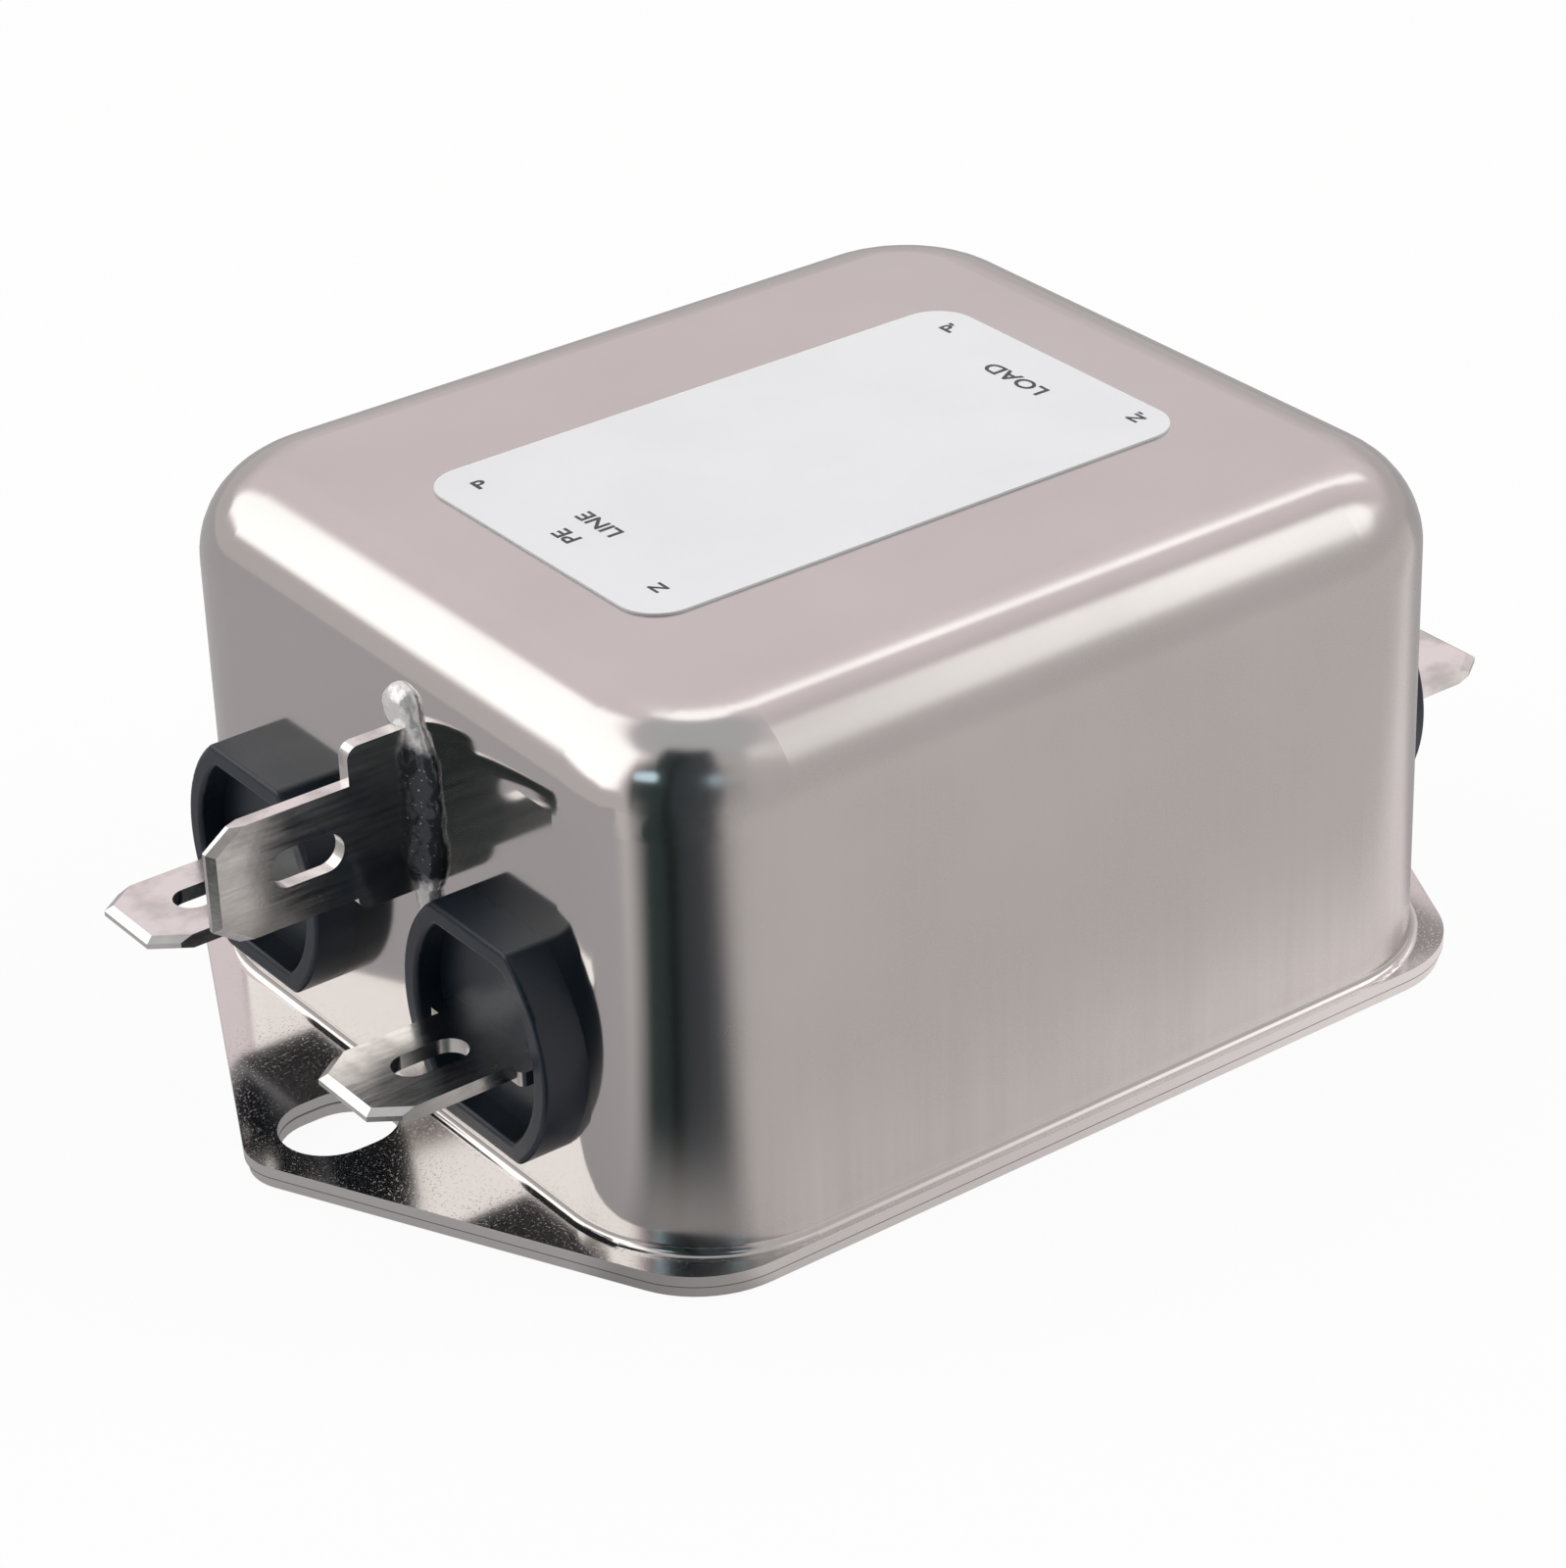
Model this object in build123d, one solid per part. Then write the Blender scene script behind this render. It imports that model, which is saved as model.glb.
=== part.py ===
"""EMI line filter for chassis mounting.

A deep-drawn metal can stands on a flat base plate. The two sheets share one
hexagonal outline that runs out into a slotted fixing ear at each end. Each end
wall carries two moulded bushings with a flat tab terminal, and the line end
also carries an upright earth tab that is soldered to the wall. Inside are a
common-mode choke on a cased ring core, two capacitors across the supply, two
capacitors to the can and a bleed resistor.

Frame: X runs from the line end (-X) to the load end (+X), Z is up, and the
origin is the centre of the base plate's underside. Sizes are in millimetres.
"""
from build123d import *
import os
from dataclasses import dataclass
from math import asin, atan2, cos, degrees, hypot, radians, sin, sqrt, tan

os.makedirs("parts", exist_ok=True)

# Driving sizes of the can and the sheet metal.
CAN_LENGTH = 52.6
CAN_WIDTH = 46.5
TOP_Z = 29.3
SHEET = 0.65
CORNER_RADIUS = 8.4
CROWN_RADIUS = 5.0
FOOT_BEND = 0.5

# Outline shared by the can's flange and the base plate. The ear's straight
# edges run from its apex to a margin outside the can's rounded corners.
FLANGE_OVERHANG = 0.6
EAR_REACH = 9.96
EAR_MARGIN = 1.63
EAR_NOSE_RADIUS = 3.0
FLANGE_CORNER_RADIUS = 6.0
BASE_INSET = 0.2

# Fixing slots, one in each ear, long way along X.
SLOT_REACH = 4.45
SLOT_WIDTH = 5.4
SLOT_LENGTH = 6.4

# Terminal bushings: two side arcs cut by a flat above and below.
BUSHING_SHARE = 10.3 / 46.5
BUSHING_Z = 10.8
BUSHING_ARC_RADIUS = 7.6
BUSHING_ARC_OFFSET = 1.4
BUSHING_HALF_HEIGHT = 6.0
BUSHING_WALL = 1.1
BUSHING_PROUD = 2.4
CUP_DEPTH = 1.5
BUSHING_EDGE = 0.25
BUSHING_COLLAR_WIDTH = 13.6
BUSHING_COLLAR_HEIGHT = 14.0
BUSHING_COLLAR = 1.2
BUSHING_COLLAR_CORNER = 2.0

# Tab terminals, 6.3 by 0.8.
TAB_WIDTH = 6.3
TAB_THICKNESS = 0.8
TAB_REACH = 9.95
TAB_SHOULDER = 2.35
TAB_INNER_REACH = 5.1
TAB_DROP = 0.7
TAB_ROOT_HALF = 4.1
TAB_SHANK_HALF = 2.0
TAB_CORNER_ALONG = 1.4
TAB_CORNER_ACROSS = 1.0
TAB_COIN_LENGTH = 0.42
TAB_COIN_DEPTH = 0.26
TAB_SLOT_LENGTH = 4.2
TAB_SLOT_WIDTH = 2.1
TAB_SLOT_FROM_TIP = 5.05

# Earth terminal: the same blade on edge, with a taller root against the wall.
EARTH_FROM_BUSHING = 7.5
EARTH_BELOW_TOP = 10.3
EARTH_REACH = 12.05
EARTH_SHOULDER = 4.0
EARTH_INNER_REACH = 1.7
EARTH_ROOT_BELOW = 3.9
EARTH_ROOT_ABOVE = 5.2
EARTH_TONGUE_HALF = 1.8
EARTH_ROOT_ROUND = 0.7
EARTH_SLOT_FROM_TIP = 5.4

# Solder at the earth terminal's root: a lens each side, a bead above, a run below.
SOLDER_LENS = (1.0, 1.7, 5.6)
SOLDER_LENS_OFFSET = (0.0, -0.1)
SOLDER_BEAD = (0.85, 1.3, 1.45)
SOLDER_BEAD_OFFSET = (0.6, 5.8)
SOLDER_RUN = (0.7, 0.75, 1.7)
SOLDER_RUN_OFFSET = (-0.5, -4.6)

# Rating label on the top.
LABEL_LENGTH = 34.3
LABEL_WIDTH = 20.3
LABEL_CORNER = 2.3
LABEL_THICKNESS = 0.12

# Insulating sheet on the floor.
LINER_THICKNESS = 0.5
LINER_GAP = 0.5

# Choke: ring core in a lidded case, with one winding on each half.
CORE_BORE_SHARE = 6.3 / 11.0
CORE_HEIGHT = 8.0
CORE_EDGE = 0.6
CASE_WALL = 0.8
CASE_GAP = 0.2
WIRE_DIAMETER = 0.9
WIRE_GAP = 0.05
TURN_GAP = 0.165
WINDING_SPAN = 129
DIVIDER_THICKNESS = 1.0
DIVIDER_RISE = 1.2

# Capacitors across the supply, one at each end of the choke.
BOX_THICKNESS = 6.0
BOX_HEIGHT = 15.0
BOX_TAB_GAP = 1.2
BOX_CHOKE_GAP = 1.05
BOX_EDGE = 0.6
BOX_END = 1.75
BOX_LEAD_OUTSET = 0.95
BOX_LEAD_DIAMETER = 0.8
BOX_LEAD_RISE = 0.85

# Capacitors from each load conductor to the can.
DISC_HEADROOM = 2.35
DISC_WIRE_GAP = 0.2
DISC_THICKNESS = 3.6
DISC_EDGE = 1.2
DISC_INSET = 3.3
DISC_LEAD_SHARE = 0.44
DISC_LEAD_DIAMETER = 0.7

# Bleed resistor across the line terminals.
RESISTOR_DIAMETER = 3.4
RESISTOR_LENGTH = 9.0
RESISTOR_CAP_LENGTH = 1.8
RESISTOR_WAIST = 0.3
RESISTOR_LEAD_DIAMETER = 0.7

# Where the wires land on the terminals, from their inner ends and middle lines.
NEAR_JOINT = 0.8
FAR_JOINT = 2.3
WINDING_JOINT_INSET = 1.1

# Sheet metal worked out from the driving sizes.
WALL_X = CAN_LENGTH / 2
INNER_WALL_X = WALL_X - SHEET
INNER_TOP_Z = TOP_Z - SHEET
FLANGE_Y = CAN_WIDTH / 2 + FLANGE_OVERHANG
FLANGE_TOP_Z = 2 * SHEET
EAR_APEX_X = WALL_X + EAR_REACH
SLOT_X = WALL_X + SLOT_REACH
LINER_TOP_Z = SHEET + LINER_THICKNESS

# Terminals worked out from the walls.
BUSHING_Y = CAN_WIDTH * BUSHING_SHARE
BUSHING_FACE_X = WALL_X + BUSHING_PROUD
CUP_FLOOR_X = BUSHING_FACE_X - CUP_DEPTH
TAB_Z = BUSHING_Z - TAB_DROP
TAB_TOP_Z = TAB_Z + TAB_THICKNESS / 2
TAB_TIP_X = WALL_X + TAB_REACH
TAB_INNER_X = WALL_X - TAB_INNER_REACH
NEAR_JOINT_X = TAB_INNER_X + NEAR_JOINT
FAR_JOINT_X = TAB_INNER_X + FAR_JOINT
EARTH_Y = EARTH_FROM_BUSHING - BUSHING_Y
EARTH_Z = TOP_Z - EARTH_BELOW_TOP
EARTH_TIP_X = WALL_X + EARTH_REACH

# Boxed capacitors, just inside the terminals.
BOX_X = TAB_INNER_X - BOX_TAB_GAP - BOX_THICKNESS / 2
BOX_LEAD_Y = BUSHING_Y + BOX_LEAD_OUTSET
BOX_WIDTH = 2 * (BOX_LEAD_Y + BOX_END)
BOX_TOP_Z = LINER_TOP_Z + BOX_HEIGHT
CROSSING_Z = BOX_TOP_Z + WIRE_DIAMETER / 2 + WIRE_GAP

# Choke, sized to the room between the boxed capacitors.
CHOKE_RADIUS = BOX_X - BOX_THICKNESS / 2 - BOX_CHOKE_GAP
CASE_OUTER_RADIUS = CHOKE_RADIUS - WIRE_DIAMETER - WIRE_GAP
CORE_OUTER_RADIUS = CASE_OUTER_RADIUS - CASE_GAP - CASE_WALL
CORE_INNER_RADIUS = CORE_OUTER_RADIUS * CORE_BORE_SHARE
CASE_INNER_RADIUS = CORE_INNER_RADIUS - CASE_GAP - CASE_WALL
CASE_BOTTOM_Z = LINER_TOP_Z + WIRE_DIAMETER + WIRE_GAP
CASE_RIM_Z = CASE_BOTTOM_Z + CASE_WALL + CORE_HEIGHT + CASE_GAP
CASE_TOP_Z = CASE_RIM_Z + CASE_WALL
TURN_OUTER_RADIUS = CASE_OUTER_RADIUS + WIRE_GAP + WIRE_DIAMETER / 2
TURN_INNER_RADIUS = CASE_INNER_RADIUS - WIRE_GAP - WIRE_DIAMETER / 2
TURN_PITCH = degrees((WIRE_DIAMETER + TURN_GAP) / TURN_INNER_RADIUS)
TURNS = int(WINDING_SPAN / TURN_PITCH)

# Disc capacitors, in the room above the load capacitor.
DISC_Y = BUSHING_Y - DISC_INSET
DISC_LOW_Z = CROSSING_Z + WIRE_DIAMETER / 2 + DISC_WIRE_GAP
DISC_RADIUS = (INNER_TOP_Z - DISC_HEADROOM - DISC_LOW_Z) / 2
DISC_CENTRE_Z = DISC_LOW_Z + DISC_RADIUS
DISC_LEAD_REACH = DISC_RADIUS * DISC_LEAD_SHARE


@dataclass(frozen=True)
class Blade:
    """Outline of a tab terminal, measured outward from the filter's middle.

    Attributes:
        tip: Distance to the tip.
        shoulder: Distance at which the blade widens into the root.
        seat: Distance to the face that the root bears on.
        inner: Distance to the inner end of the tongue.
        root_low: Root edge on the low side of the blade's centre line.
        root_high: Root edge on the high side.
        tongue: Half the tongue's width.
        slot: Distance to the middle of the locking slot.
        rounding: Radius of the root's outer corners.
    """

    tip: float
    shoulder: float
    seat: float
    inner: float
    root_low: float
    root_high: float
    tongue: float
    slot: float
    rounding: float


def rounded_box(length, width, radius, z_low, z_high):
    """Return an upright block with rounded vertical edges."""
    sketch = Pos(0, 0, z_low) * RectangleRounded(length, width, radius)
    return extrude(sketch, z_high - z_low)


def slot_cutters():
    """Return the two upright cutters for the ear slots."""
    cutter = extrude(Pos(0, 0, -1) * SlotOverall(SLOT_LENGTH, SLOT_WIDTH), FLANGE_TOP_Z + 2)
    return [Pos(side * SLOT_X, 0, 0) * cutter for side in (-1, 1)]


def eared_outline(inset=0.0):
    """Return the hexagonal sheet outline with its rounded corners and noses."""
    run = EAR_APEX_X - WALL_X + CORNER_RADIUS
    rise = CAN_WIDTH / 2 - CORNER_RADIUS
    lean = atan2(rise, run) + asin((CORNER_RADIUS + EAR_MARGIN) / hypot(run, rise))
    corner_x = EAR_APEX_X - FLANGE_Y / tan(lean)
    points = [
        (EAR_APEX_X, 0),
        (corner_x, FLANGE_Y),
        (-corner_x, FLANGE_Y),
        (-EAR_APEX_X, 0),
        (-corner_x, -FLANGE_Y),
        (corner_x, -FLANGE_Y),
    ]
    face = make_face(Polyline(*points, close=True))
    noses = [v for v in face.vertices() if abs(v.Y) < 1]
    face = fillet(noses, EAR_NOSE_RADIUS)
    corners = [v for v in face.vertices() if abs(abs(v.Y) - FLANGE_Y) < 0.01]
    face = fillet(corners, FLANGE_CORNER_RADIUS)
    if inset:
        face = offset(face, -inset)
    return face


def end_plane(side, y, z):
    """Return a plane that looks outward through one end wall."""
    return Plane(origin=(0, y, z), x_dir=(0, side, 0), z_dir=(side, 0, 0))


def bushing_outline(inset=0.0):
    """Return the bushing's section: two side arcs and two flats."""
    radius = BUSHING_ARC_RADIUS - inset
    height = BUSHING_HALF_HEIGHT - inset
    side = radius - BUSHING_ARC_OFFSET
    chord = sqrt(radius ** 2 - height ** 2) - BUSHING_ARC_OFFSET
    lines = [
        ThreePointArc((chord, -height), (side, 0), (chord, height)),
        Line((chord, height), (-chord, height)),
        ThreePointArc((-chord, height), (-side, 0), (-chord, -height)),
        Line((-chord, -height), (chord, -height)),
    ]
    face = make_face(Curve() + lines)
    return fillet(face.vertices(), 0.6)


def between(plane, sketch, start, end):
    """Extrude a sketch along a plane's normal between two distances."""
    placed = plane * Pos(0, 0, start) * sketch
    return extrude(placed, end - start, dir=plane.z_dir)


def make_envelope():
    """Return the can's outside as a full block, without its flange."""
    block = rounded_box(CAN_LENGTH, CAN_WIDTH, CORNER_RADIUS, SHEET, TOP_Z)
    crown = block.faces().sort_by(Axis.Z)[-1].edges()
    return fillet(crown, CROWN_RADIUS)


def make_can(envelope, earth_tongue):
    """Return the drawn can with its flange, ears and end openings."""
    flange = extrude(Pos(0, 0, SHEET) * eared_outline(), SHEET)
    body = envelope + flange
    foot = [
        edge for edge in body.edges()
        if abs(edge.center().Z - FLANGE_TOP_Z) < 0.01
        and abs(edge.bounding_box().size.Z) < 0.01
        and max(abs(edge.bounding_box().max.Y), abs(edge.bounding_box().min.Y)) < FLANGE_Y - 0.1
        and max(abs(edge.bounding_box().max.X), abs(edge.bounding_box().min.X)) < WALL_X + 0.1
    ]
    body = fillet(foot, FOOT_BEND)
    inner = rounded_box(
        CAN_LENGTH - 2 * SHEET,
        CAN_WIDTH - 2 * SHEET,
        CORNER_RADIUS - SHEET,
        0,
        INNER_TOP_Z,
    )
    inner = fillet(inner.faces().sort_by(Axis.Z)[-1].edges(), CROWN_RADIUS - SHEET)
    can = body - inner
    mouth = can.faces().sort_by(Axis.Z)[0].inner_wires()
    inside = max(mouth, key=lambda wire: wire.length)
    can = fillet(inside.edges(), SHEET * 0.9)
    for cutter in slot_cutters():
        can = can - cutter
    for side in (-1, 1):
        for y in (-BUSHING_Y, BUSHING_Y):
            plane = end_plane(side, y, BUSHING_Z)
            can = can - between(plane, bushing_outline(), INNER_WALL_X - 2, WALL_X + 1)
    return can - earth_tongue


def make_base_plate():
    """Return the flat plate that closes the can from below."""
    plate = extrude(eared_outline(BASE_INSET), SHEET)
    for cutter in slot_cutters():
        plate = plate - cutter
    return plate


def make_bushing(side, y, terminal, can):
    """Return one moulded bushing, cupped outside and collared inside the wall."""
    plane = end_plane(side, y, BUSHING_Z)
    barrel = between(plane, bushing_outline(), INNER_WALL_X - BUSHING_COLLAR, BUSHING_FACE_X)
    cup = between(plane, bushing_outline(BUSHING_WALL), CUP_FLOOR_X, BUSHING_FACE_X + 1)
    barrel = barrel - cup
    rim = barrel.faces().filter_by(Axis.X).sort_by(Axis.X)[-1 if side > 0 else 0]
    barrel = fillet(rim.edges(), BUSHING_EDGE)
    collar = RectangleRounded(BUSHING_COLLAR_WIDTH, BUSHING_COLLAR_HEIGHT, BUSHING_COLLAR_CORNER)
    collar = between(plane, collar, INNER_WALL_X - BUSHING_COLLAR, INNER_WALL_X)
    return barrel + collar - can - terminal


def make_blade(blade):
    """Return a tab terminal lying flat, outward along +X, centred on the X axis."""
    half = TAB_WIDTH / 2
    points = [
        (blade.inner, -blade.tongue),
        (blade.seat, -blade.tongue),
        (blade.seat, -blade.root_low),
        (blade.shoulder, -blade.root_low),
        (blade.shoulder, -half),
        (blade.tip - TAB_CORNER_ALONG, -half),
        (blade.tip, -half + TAB_CORNER_ACROSS),
        (blade.tip, half - TAB_CORNER_ACROSS),
        (blade.tip - TAB_CORNER_ALONG, half),
        (blade.shoulder, half),
        (blade.shoulder, blade.root_high),
        (blade.seat, blade.root_high),
        (blade.seat, blade.tongue),
        (blade.inner, blade.tongue),
    ]
    face = make_face(Polyline(*points, close=True))
    face = face - Pos(blade.slot, 0) * SlotOverall(TAB_SLOT_LENGTH, TAB_SLOT_WIDTH)
    plate = extrude(Pos(0, 0, -TAB_THICKNESS / 2) * face, TAB_THICKNESS)
    shoulders = [
        edge for edge in plate.edges().filter_by(Axis.Z)
        if abs(edge.center().X - blade.shoulder) < 0.01 and abs(edge.center().Y) > half + 0.01
    ]
    plate = fillet(shoulders, blade.rounding)
    for cutter in coining_cutters(blade):
        plate = plate - cutter
    return plate


def coining_cutters(blade):
    """Return the wedges that thin the blade's tip and its two angled corners."""
    lean = atan2(TAB_COIN_DEPTH, TAB_COIN_LENGTH)
    corner = atan2(TAB_CORNER_ALONG, TAB_CORNER_ACROSS)
    half = TAB_WIDTH / 2
    edges = [
        (blade.tip, 0, 0),
        (blade.tip, half - TAB_CORNER_ACROSS, corner),
        (blade.tip, TAB_CORNER_ACROSS - half, -corner),
    ]
    cutters = []
    for x, y, angle in edges:
        for face in (-1, 1):
            height = face * (TAB_THICKNESS / 2 - TAB_COIN_DEPTH)
            normal = (cos(angle) * sin(lean), sin(angle) * sin(lean), face * cos(lean))
            plane = Plane(origin=(x, y, height), x_dir=(-sin(angle), cos(angle), 0), z_dir=normal)
            block = Box(3 * TAB_WIDTH, 3 * TAB_WIDTH, TAB_THICKNESS)
            cutters.append(plane * Pos(0, 0, TAB_THICKNESS / 2) * block)
    return cutters


def make_earth_blade():
    """Return the earth terminal on edge in the line end's wall."""
    blade = make_blade(Blade(
        tip=EARTH_TIP_X,
        shoulder=WALL_X + EARTH_SHOULDER,
        seat=WALL_X,
        inner=WALL_X - EARTH_INNER_REACH,
        root_low=EARTH_ROOT_BELOW,
        root_high=EARTH_ROOT_ABOVE,
        tongue=EARTH_TONGUE_HALF,
        slot=EARTH_TIP_X - EARTH_SLOT_FROM_TIP,
        rounding=EARTH_ROOT_ROUND,
    ))
    upright = Plane(origin=(0, EARTH_Y, EARTH_Z), x_dir=(-1, 0, 0), z_dir=(0, 1, 0))
    return upright * blade


def make_solder(envelope, terminal):
    """Return the solder that bonds the earth terminal's root to the can."""
    drops = [
        (SOLDER_LENS, SOLDER_LENS_OFFSET),
        (SOLDER_BEAD, SOLDER_BEAD_OFFSET),
        (SOLDER_RUN, SOLDER_RUN_OFFSET),
    ]
    solder = Part()
    for radii, (across, up) in drops:
        place = Pos(-WALL_X, EARTH_Y + across, EARTH_Z + up)
        solder += place * scale(Sphere(1), by=radii)
    return solder - (envelope + terminal)


def wire_along(points, diameter):
    """Return a round wire bent sharply at each point of a path."""
    path = Polyline(*points)
    section = Plane(origin=path @ 0, z_dir=path % 0) * Circle(diameter / 2)
    return sweep(section, path=path, transition=Transition.RIGHT)


def winding_points(side):
    """Return one winding's path, from its line terminal to its load terminal."""
    outer = TURN_OUTER_RADIUS
    inner = TURN_INNER_RADIUS
    low = LINER_TOP_Z + WIRE_DIAMETER / 2
    high = CASE_TOP_Z + WIRE_DIAMETER / 2 + WIRE_GAP
    joint_y = BUSHING_Y - WINDING_JOINT_INSET
    start = 90 + TURNS * TURN_PITCH / 2

    def at(radius, angle, z):
        return (radius * cos(radians(angle)), side * radius * sin(radians(angle)), z)

    points = [
        (-NEAR_JOINT_X, side * joint_y, TAB_TOP_Z),
        (-NEAR_JOINT_X, side * joint_y, CROSSING_Z),
        at(outer, start, CROSSING_Z),
    ]
    for turn in range(TURNS):
        angle = start - turn * TURN_PITCH
        points += [
            at(outer, angle, high),
            at(inner, angle - TURN_PITCH / 2, high),
            at(inner, angle - TURN_PITCH / 2, low),
            at(outer, angle - TURN_PITCH, low),
        ]
    end = start - TURNS * TURN_PITCH
    points += [
        at(outer, end, CROSSING_Z),
        (NEAR_JOINT_X, side * joint_y, CROSSING_Z),
        (NEAR_JOINT_X, side * joint_y, TAB_TOP_Z),
    ]
    return points


def make_ring(inner, outer, z_low, z_high):
    """Return a flat ring between two radii and two heights."""
    sketch = Pos(0, 0, z_low) * (Circle(outer) - Circle(inner))
    return extrude(sketch, z_high - z_low)


def make_choke():
    """Return the choke's core, case, lid, divider and two windings by name."""
    core = make_ring(
        CORE_INNER_RADIUS,
        CORE_OUTER_RADIUS,
        CASE_BOTTOM_Z + CASE_WALL,
        CASE_BOTTOM_Z + CASE_WALL + CORE_HEIGHT,
    )
    core = fillet(core.edges().filter_by(GeomType.CIRCLE), CORE_EDGE)
    trough = make_ring(
        CASE_INNER_RADIUS + CASE_WALL,
        CASE_OUTER_RADIUS - CASE_WALL,
        CASE_BOTTOM_Z + CASE_WALL,
        CASE_RIM_Z + 1,
    )
    case = make_ring(CASE_INNER_RADIUS, CASE_OUTER_RADIUS, CASE_BOTTOM_Z, CASE_RIM_Z) - trough
    lid = make_ring(CASE_INNER_RADIUS, CASE_OUTER_RADIUS, CASE_RIM_Z, CASE_TOP_Z)
    divider_height = CASE_TOP_Z + DIVIDER_RISE - LINER_TOP_Z
    divider = Pos(0, 0, LINER_TOP_Z) * Box(
        2 * CASE_INNER_RADIUS,
        DIVIDER_THICKNESS,
        divider_height,
        align=(Align.CENTER, Align.CENTER, Align.MIN),
    )
    bore = Pos(0, 0, LINER_TOP_Z) * Cylinder(
        CASE_INNER_RADIUS,
        divider_height,
        align=(Align.CENTER, Align.CENTER, Align.MIN),
    )
    return {
        "choke_core": core,
        "choke_case": case,
        "choke_case_lid": lid,
        "choke_divider": divider & bore,
        "choke_winding_p": wire_along(winding_points(1), WIRE_DIAMETER),
        "choke_winding_n": wire_along(winding_points(-1), WIRE_DIAMETER),
    }


def make_box_capacitor(side):
    """Return a boxed capacitor and its two leads, beside the choke."""
    body = Pos(side * BOX_X, 0, LINER_TOP_Z) * Box(
        BOX_THICKNESS,
        BOX_WIDTH,
        BOX_HEIGHT,
        align=(Align.CENTER, Align.CENTER, Align.MIN),
    )
    body = fillet(body.edges().filter_by(Axis.Z), BOX_EDGE)
    for y in (-BOX_LEAD_Y, BOX_LEAD_Y):
        points = [
            (side * BOX_X, y, BOX_TOP_Z - 1),
            (side * BOX_X, y, BOX_TOP_Z + BOX_LEAD_RISE),
            (side * NEAR_JOINT_X, y, BOX_TOP_Z + BOX_LEAD_RISE),
            (side * NEAR_JOINT_X, y, TAB_TOP_Z),
        ]
        body = body + wire_along(points, BOX_LEAD_DIAMETER)
    return body


def make_disc_capacitor(side):
    """Return a disc capacitor from one load terminal to the end wall."""
    y = side * DISC_Y
    disc = Pos(BOX_X, y, DISC_CENTRE_Z) * Rot(90, 0, 0) * Cylinder(DISC_RADIUS, DISC_THICKNESS)
    disc = fillet(disc.edges().filter_by(GeomType.CIRCLE), DISC_EDGE)
    low = DISC_CENTRE_Z - DISC_LEAD_REACH
    high = DISC_CENTRE_Z + DISC_LEAD_REACH
    to_terminal = [
        (BOX_X, y, low),
        (FAR_JOINT_X, y, low),
        (FAR_JOINT_X, side * BUSHING_Y, low),
        (FAR_JOINT_X, side * BUSHING_Y, TAB_TOP_Z),
    ]
    to_wall = [(BOX_X, y, high), (INNER_WALL_X, y, high)]
    disc = disc + wire_along(to_terminal, DISC_LEAD_DIAMETER)
    return disc + wire_along(to_wall, DISC_LEAD_DIAMETER)


def make_resistor():
    """Return the bleed resistor that lies on the line capacitor."""
    z = BOX_TOP_Z + RESISTOR_DIAMETER / 2
    lying = Pos(-BOX_X, 0, z) * Rot(90, 0, 0)
    waist = RESISTOR_DIAMETER / 2 - RESISTOR_WAIST
    body = lying * Cylinder(waist, RESISTOR_LENGTH)
    shift = (RESISTOR_LENGTH - RESISTOR_CAP_LENGTH) / 2
    for side in (-1, 1):
        cap = Cylinder(RESISTOR_DIAMETER / 2, RESISTOR_CAP_LENGTH)
        cap = fillet(cap.edges().filter_by(GeomType.CIRCLE), 0.4)
        body = body + lying * Pos(0, 0, side * shift) * cap
    for side in (-1, 1):
        points = [
            (-BOX_X, side * shift, z),
            (-BOX_X, side * BUSHING_Y, z),
            (-FAR_JOINT_X, side * BUSHING_Y, z),
            (-FAR_JOINT_X, side * BUSHING_Y, TAB_TOP_Z),
        ]
        body = body + wire_along(points, RESISTOR_LEAD_DIAMETER)
    return body


def make_label():
    """Return the rating label stuck to the top."""
    sketch = Pos(0, 0, TOP_Z) * RectangleRounded(LABEL_LENGTH, LABEL_WIDTH, LABEL_CORNER)
    return extrude(sketch, LABEL_THICKNESS)


def make_liner():
    """Return the insulating sheet between the base plate and the choke."""
    return rounded_box(
        CAN_LENGTH - 2 * SHEET - LINER_GAP,
        CAN_WIDTH - 2 * SHEET - LINER_GAP,
        CORNER_RADIUS - SHEET,
        SHEET,
        LINER_TOP_Z,
    )


def build():
    """Return every piece of the filter by node name."""
    parts = {}
    envelope = make_envelope()
    earth = make_earth_blade()
    can = make_can(envelope, earth)
    parts["can"] = can
    parts["base_plate"] = make_base_plate()
    parts["rating_label"] = make_label()
    parts["earth_terminal"] = earth
    parts["earth_solder_joint"] = make_solder(envelope, earth)
    blade = make_blade(Blade(
        tip=TAB_TIP_X,
        shoulder=WALL_X + TAB_SHOULDER,
        seat=CUP_FLOOR_X,
        inner=TAB_INNER_X,
        root_low=TAB_ROOT_HALF,
        root_high=TAB_ROOT_HALF,
        tongue=TAB_SHANK_HALF,
        slot=TAB_TIP_X - TAB_SLOT_FROM_TIP,
        rounding=0.4,
    ))
    for end, turn in (("line", 180), ("load", 0)):
        for pole, y in (("p", BUSHING_Y), ("n", -BUSHING_Y)):
            terminal = Pos(0, y, TAB_Z) * Rot(0, 0, turn) * blade
            side = -1 if end == "line" else 1
            parts[f"{end}_terminal_{pole}"] = terminal
            parts[f"{end}_bushing_{pole}"] = make_bushing(side, y, terminal, can)
    parts["insulating_liner"] = make_liner()
    parts.update(make_choke())
    parts["line_capacitor"] = make_box_capacitor(-1)
    parts["load_capacitor"] = make_box_capacitor(1)
    parts["earth_capacitor_p"] = make_disc_capacitor(1)
    parts["earth_capacitor_n"] = make_disc_capacitor(-1)
    parts["bleed_resistor"] = make_resistor()
    return parts


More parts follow.
